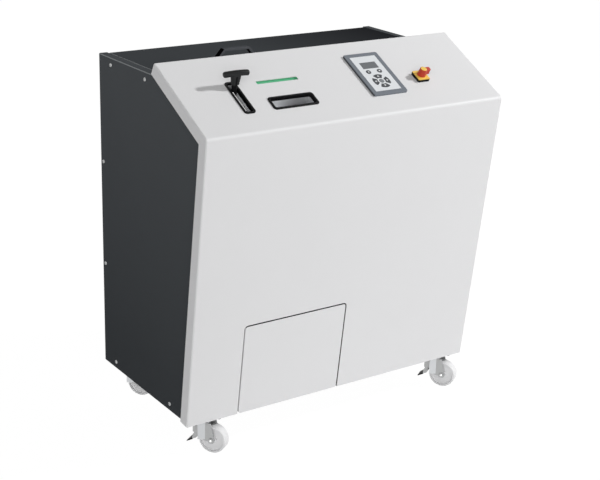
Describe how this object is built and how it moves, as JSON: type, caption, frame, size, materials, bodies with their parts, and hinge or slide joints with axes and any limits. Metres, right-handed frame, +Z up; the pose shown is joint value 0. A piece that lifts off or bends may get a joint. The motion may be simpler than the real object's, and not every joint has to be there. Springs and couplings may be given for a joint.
{
  "type": "hard drive shredder",
  "caption": "Free-standing hard drive shredder with a sloped operating panel, feed opening with lever, shred bin drawer, lift-up lid and braked casters.",
  "frame": {"origin": "on the floor under the middle of the cabinet", "axes": "+X to the right seen from the front, +Y to the rear, +Z up"},
  "size_m": [0.97, 0.6148, 1.0646],
  "materials": {
    "hood_paint": "fine-grained light grey powder coat",
    "body_paint": "fine-grained anthracite powder coat",
    "frame_steel": "black painted welded tube",
    "zinc_steel": "zinc plated",
    "stainless": "brushed stainless sheet",
    "tool_steel": "ground hardened steel",
    "drive_cast": "painted casting",
    "black_plastic": "satin moulded",
    "control_grey": "satin moulded",
    "label_light": "smooth foil",
    "key_dark": "satin moulded",
    "display_glass": "glossy window",
    "signal_green": "translucent green",
    "switch_yellow": "glossy",
    "switch_red": "glossy",
    "wheel_plastic": "off-white polyamide",
    "runner_plastic": "low friction polyethylene"
  },
  "bodies": {
    "cabinet": {"front_hood": "hood_paint", "side_panel_left": "body_paint", "side_panel_right": "body_paint", "rear_panel": "body_paint", "base_plate": "frame_steel", "frame": "frame_steel", "panel_screws": "zinc_steel", "lever_bezel": "black_plastic", "lever_brackets": "stainless", "feed_bezel": "black_plastic", "feed_throat": "stainless", "signal_strip": "signal_green", "control_housing": "control_grey", "keypad_plate": "label_light", "display_window": "display_glass", "switch_base": "black_plastic", "switch_plate": "switch_yellow", "cutter_frame": "tool_steel", "cutter_bearings": "tool_steel", "discharge_chute": "stainless", "gearbox": "drive_cast", "drive_motor": "drive_cast", "electrics_box": "body_paint", "drawer_runners": "runner_plastic", "cable_gland": "black_plastic", "caster_plates": "zinc_steel", "caster_bolts": "zinc_steel", "lid_hinges": "zinc_steel"},
    "lid": {"top_lid": "body_paint", "lid_handle": "black_plastic"},
    "lever": {"feed_lever": "frame_steel", "lever_grip": "black_plastic", "feed_flap": "stainless"},
    "drawer": {"bin_front": "hood_paint", "shred_bin": "stainless"},
    "switch": {"switch_knob": "switch_red"},
    "body_key_upper_left": {"key_upper_left": "key_dark"},
    "body_key_upper_right": {"key_upper_right": "key_dark"},
    "body_key_up": {"key_up": "key_dark"},
    "body_key_left": {"key_left": "key_dark"},
    "body_key_center": {"key_center": "key_dark"},
    "body_key_right": {"key_right": "key_dark"},
    "body_key_down": {"key_down": "key_dark"},
    "swivel_front_left": {"caster_fork_front_left": "zinc_steel"},
    "wheel_front_left": {"caster_wheel_front_left": "wheel_plastic"},
    "pedal_front_left": {"brake_pedal_front_left": "zinc_steel"},
    "swivel_front_right": {"caster_fork_front_right": "zinc_steel"},
    "wheel_front_right": {"caster_wheel_front_right": "wheel_plastic"},
    "pedal_front_right": {"brake_pedal_front_right": "zinc_steel"},
    "swivel_rear_left": {"caster_fork_rear_left": "zinc_steel"},
    "wheel_rear_left": {"caster_wheel_rear_left": "wheel_plastic"},
    "swivel_rear_right": {"caster_fork_rear_right": "zinc_steel"},
    "wheel_rear_right": {"caster_wheel_rear_right": "wheel_plastic"},
    "cutter_front": {"cutter_shaft_front": "tool_steel", "cutter_discs_front": "tool_steel", "timing_gear_front": "tool_steel"},
    "cutter_rear": {"cutter_shaft_rear": "tool_steel", "cutter_discs_rear": "tool_steel", "timing_gear_rear": "tool_steel"}
  },
  "joints": [
    {"name": "lid_hinge", "type": "hinge", "parent": "cabinet", "child": "lid", "pos_m": [0, 0.29, 1.014], "axis": [-1, 0, 0], "range_deg": [0, 75]},
    {"name": "feed_lever_pull", "type": "hinge", "parent": "cabinet", "child": "lever", "pos_m": [-0.317, -0.15096, 0.95137], "axis": [1, 0, 0], "range_deg": [0, 52], "stiffness_Nm_per_rad": 0.9, "springref_deg": -20.05},
    {"name": "drawer_slide", "type": "slide", "parent": "cabinet", "child": "drawer", "axis": [0, -1, 0], "range_m": [0, 0.36]},
    {"name": "main_switch_turn", "type": "hinge", "parent": "cabinet", "child": "switch", "pos_m": [0.2685, -0.19897, 0.98264], "axis": [0, -0.4644, 0.8856], "range_deg": [0, 90]},
    {"name": "key_upper_left_press", "type": "slide", "parent": "cabinet", "child": "body_key_upper_left", "axis": [0, 0.4644, -0.8856], "range_m": [0, 0.0007], "stiffness_N_per_m": 500},
    {"name": "key_upper_right_press", "type": "slide", "parent": "cabinet", "child": "body_key_upper_right", "axis": [0, 0.4644, -0.8856], "range_m": [0, 0.0007], "stiffness_N_per_m": 500},
    {"name": "key_up_press", "type": "slide", "parent": "cabinet", "child": "body_key_up", "axis": [0, 0.4644, -0.8856], "range_m": [0, 0.0007], "stiffness_N_per_m": 500},
    {"name": "key_left_press", "type": "slide", "parent": "cabinet", "child": "body_key_left", "axis": [0, 0.4644, -0.8856], "range_m": [0, 0.0007], "stiffness_N_per_m": 500},
    {"name": "key_center_press", "type": "slide", "parent": "cabinet", "child": "body_key_center", "axis": [0, 0.4644, -0.8856], "range_m": [0, 0.0007], "stiffness_N_per_m": 500},
    {"name": "key_right_press", "type": "slide", "parent": "cabinet", "child": "body_key_right", "axis": [0, 0.4644, -0.8856], "range_m": [0, 0.0007], "stiffness_N_per_m": 500},
    {"name": "key_down_press", "type": "slide", "parent": "cabinet", "child": "body_key_down", "axis": [0, 0.4644, -0.8856], "range_m": [0, 0.0007], "stiffness_N_per_m": 500},
    {"name": "caster_swivel_front_left", "type": "hinge", "parent": "cabinet", "child": "swivel_front_left", "pos_m": [-0.411, -0.172, 0.09], "axis": [0, 0, 1], "continuous": true},
    {"name": "caster_roll_front_left", "type": "hinge", "parent": "swivel_front_left", "child": "wheel_front_left", "pos_m": [-0.39199, -0.20019, 0.04], "axis": [0.829, 0.5592, 0], "continuous": true},
    {"name": "brake_lift_front_left", "type": "hinge", "parent": "swivel_front_left", "child": "pedal_front_left", "pos_m": [-0.41995, -0.15873, 0.062], "axis": [0.829, 0.5592, 0], "range_deg": [0, 25]},
    {"name": "caster_swivel_front_right", "type": "hinge", "parent": "cabinet", "child": "swivel_front_right", "pos_m": [0.411, -0.172, 0.09], "axis": [0, 0, 1], "continuous": true},
    {"name": "caster_roll_front_right", "type": "hinge", "parent": "swivel_front_right", "child": "wheel_front_right", "pos_m": [0.43001, -0.20019, 0.04], "axis": [0.829, 0.5592, 0], "continuous": true},
    {"name": "brake_lift_front_right", "type": "hinge", "parent": "swivel_front_right", "child": "pedal_front_right", "pos_m": [0.40205, -0.15873, 0.062], "axis": [0.829, 0.5592, 0], "range_deg": [0, 25]},
    {"name": "caster_swivel_rear_left", "type": "hinge", "parent": "cabinet", "child": "swivel_rear_left", "pos_m": [-0.411, 0.247, 0.09], "axis": [0, 0, 1], "continuous": true},
    {"name": "caster_roll_rear_left", "type": "hinge", "parent": "swivel_rear_left", "child": "wheel_rear_left", "pos_m": [-0.39199, 0.21881, 0.04], "axis": [0.829, 0.5592, 0], "continuous": true},
    {"name": "caster_swivel_rear_right", "type": "hinge", "parent": "cabinet", "child": "swivel_rear_right", "pos_m": [0.411, 0.247, 0.09], "axis": [0, 0, 1], "continuous": true},
    {"name": "caster_roll_rear_right", "type": "hinge", "parent": "swivel_rear_right", "child": "wheel_rear_right", "pos_m": [0.43001, 0.21881, 0.04], "axis": [0.829, 0.5592, 0], "continuous": true},
    {"name": "cutter_turn_front", "type": "hinge", "parent": "cabinet", "child": "cutter_front", "pos_m": [-0.173, -0.143, 0.64], "axis": [1, 0, 0], "continuous": true},
    {"name": "cutter_turn_rear", "type": "hinge", "parent": "cabinet", "child": "cutter_rear", "pos_m": [-0.173, -0.047, 0.64], "axis": [1, 0, 0], "continuous": true}
  ],
  "couplings": [
    {"joint": "cutter_turn_rear", "follows": "cutter_turn_front", "ratio": -1}
  ]
}
